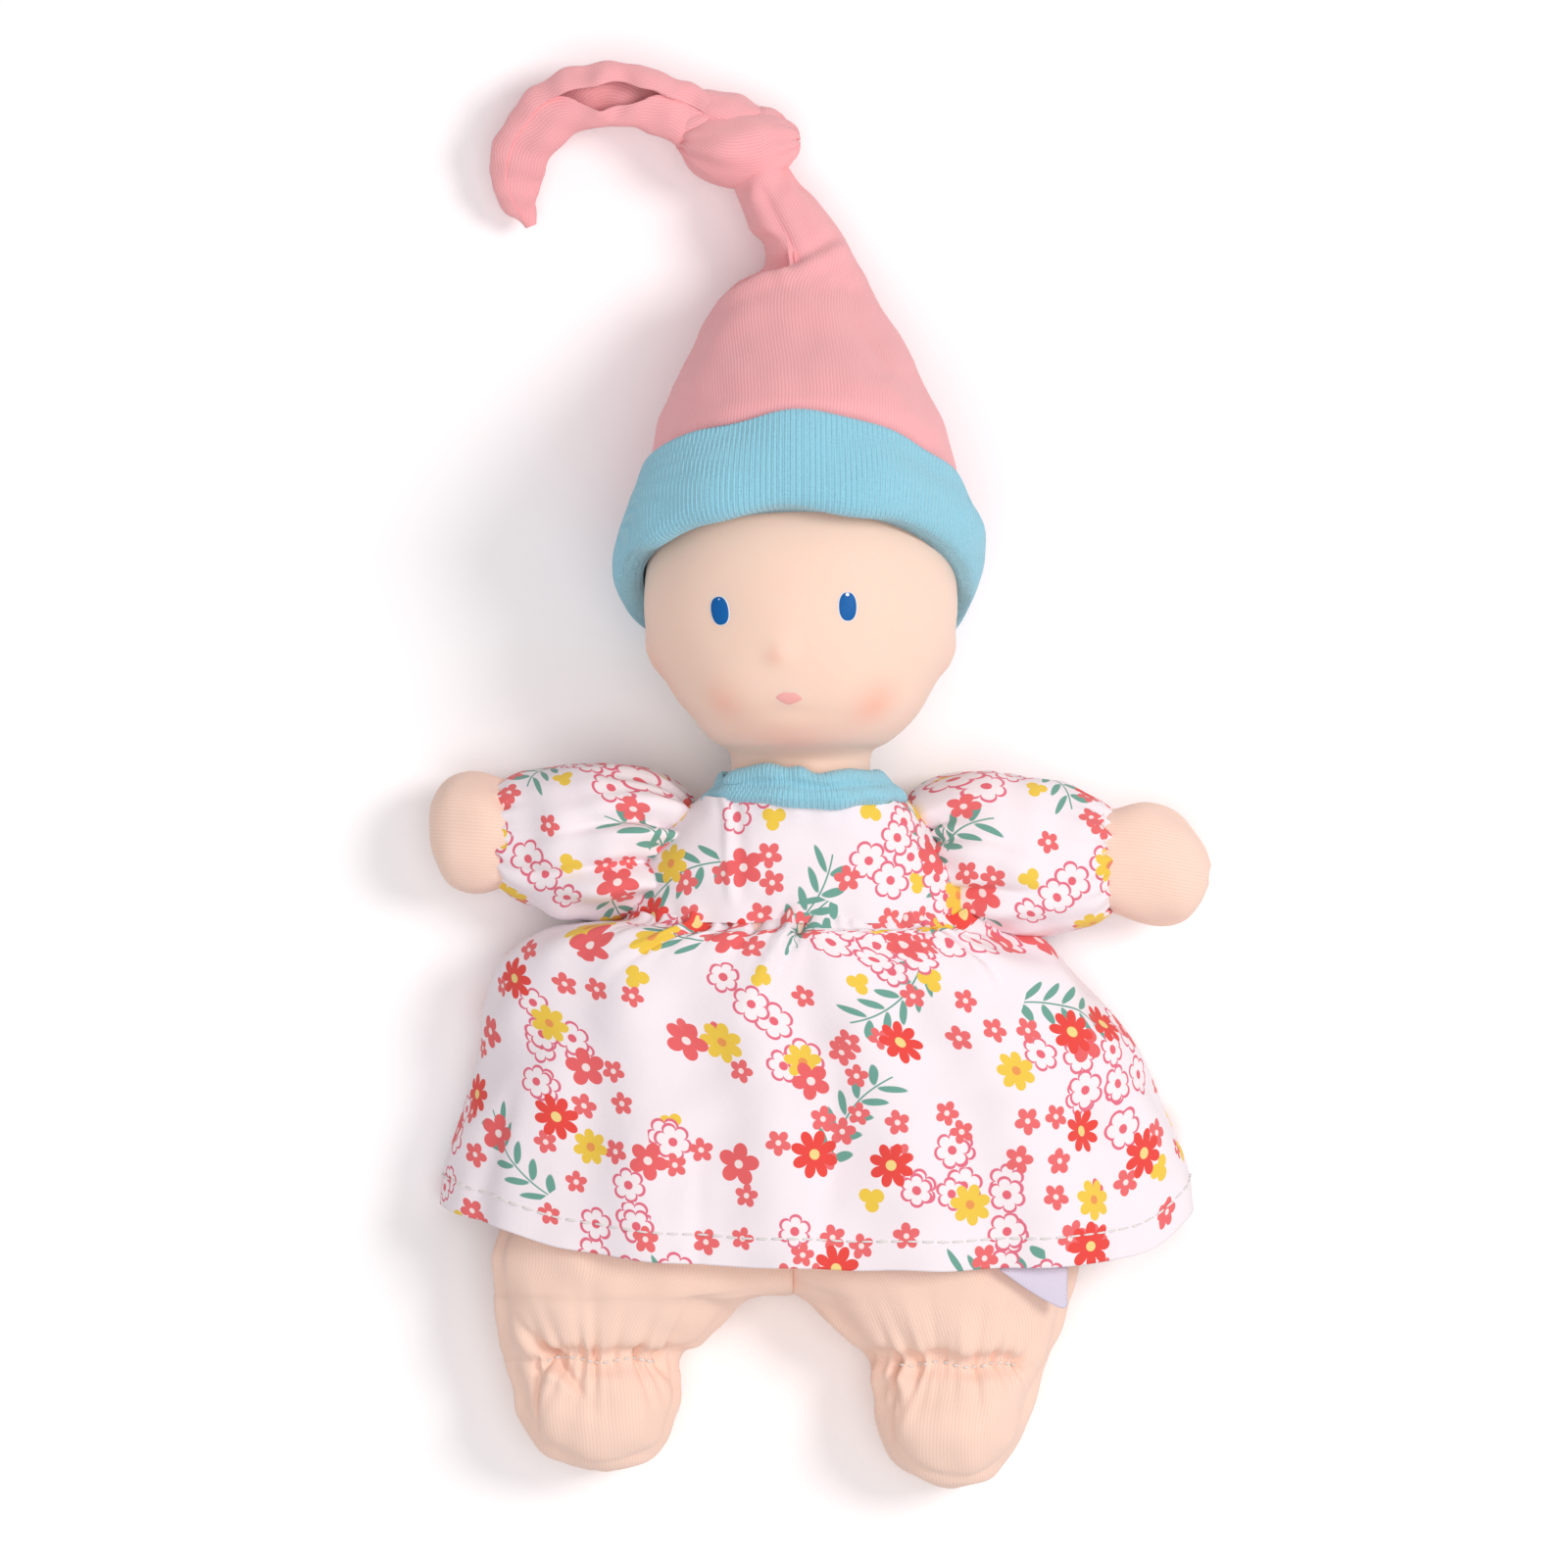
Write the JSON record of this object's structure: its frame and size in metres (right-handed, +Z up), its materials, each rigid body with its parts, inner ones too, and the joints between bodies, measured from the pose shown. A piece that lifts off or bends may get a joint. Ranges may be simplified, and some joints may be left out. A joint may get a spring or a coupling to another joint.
{
  "type": "baby doll",
  "caption": "Small soft baby doll lying on its back, with a rubber head, stuffed knit body, flowered cotton dress and knotted cap.",
  "frame": {"origin": "on the floor, on the flat back of the dress just below the waist", "axes": "+Y towards the crown of the head, +Z up from the floor, out of the face, +X to the doll's own left"},
  "size_m": [0.1568, 0.2918, 0.0713],
  "materials": {
    "body_knit": "fine peach knit",
    "wadding": "white wadding",
    "head_rubber": "smooth matte peach rubber with painted eyes and mouth",
    "printed_cotton": "white cotton with small printed flowers",
    "turquoise_rib": "fine turquoise rib knit",
    "pink_jersey": "fine pink jersey",
    "thread": "white sewing thread",
    "elastic": "white elastic",
    "satin": "white satin tape",
    "closure_tape": "white hook and loop tape"
  },
  "bodies": {
    "torso": {"torso_skin": "body_knit", "torso_filling": "wadding", "bodice_front": "printed_cotton", "bodice_back_right": "printed_cotton", "bodice_back_left": "printed_cotton", "loop_strip": "closure_tape", "hook_strip": "closure_tape", "collar_band": "turquoise_rib", "skirt": "printed_cotton"},
    "neck": {"neck_plug": "body_knit", "neck_tie": "thread"},
    "head": {"head_shell": "head_rubber"},
    "hat": {"hat_cuff": "turquoise_rib", "hat_crown": "pink_jersey", "hat_knot": "pink_jersey", "hat_tail": "pink_jersey"},
    "left_arm": {"left_arm_skin": "body_knit", "left_arm_filling": "wadding", "left_sleeve": "printed_cotton", "left_sleeve_elastic": "elastic"},
    "right_arm": {"right_arm_skin": "body_knit", "right_arm_filling": "wadding", "right_sleeve": "printed_cotton", "right_sleeve_elastic": "elastic"},
    "left_leg": {"left_leg_skin": "body_knit", "left_leg_filling": "wadding", "left_ankle_thread": "thread", "care_label": "satin"},
    "right_leg": {"right_leg_skin": "body_knit", "right_leg_filling": "wadding", "right_ankle_thread": "thread"}
  },
  "joints": [
    {"name": "head_nod", "type": "hinge", "parent": "torso", "child": "neck", "pos_m": [0, 0.0352, 0.0245], "axis": [1, 0, 0], "range_deg": [-9, 6]},
    {"name": "head_turn", "type": "hinge", "parent": "neck", "child": "head", "pos_m": [0, 0.0352, 0.0245], "axis": [0, 1, 0], "range_deg": [-45, 45]},
    {"name": "hat_pull_off", "type": "slide", "parent": "head", "child": "hat", "axis": [0, 1, 0], "range_m": [0, 0.055]},
    {"name": "left_shoulder", "type": "hinge", "parent": "torso", "child": "left_arm", "pos_m": [0.03016, 0.01912, 0.0145], "axis": [0, 0, 1], "range_deg": [-10, 50], "deforming": ["left_sleeve"]},
    {"name": "right_shoulder", "type": "hinge", "parent": "torso", "child": "right_arm", "pos_m": [-0.03016, 0.01912, 0.0145], "axis": [0, 0, -1], "range_deg": [-10, 50], "deforming": ["right_sleeve"]},
    {"name": "left_hip", "type": "hinge", "parent": "torso", "child": "left_leg", "pos_m": [0.027, -0.06635, 0.0325], "axis": [-1, 0, 0], "range_deg": [0, 75]},
    {"name": "right_hip", "type": "hinge", "parent": "torso", "child": "right_leg", "pos_m": [-0.031, -0.06635, 0.0325], "axis": [-1, 0, 0], "range_deg": [0, 75]}
  ]
}
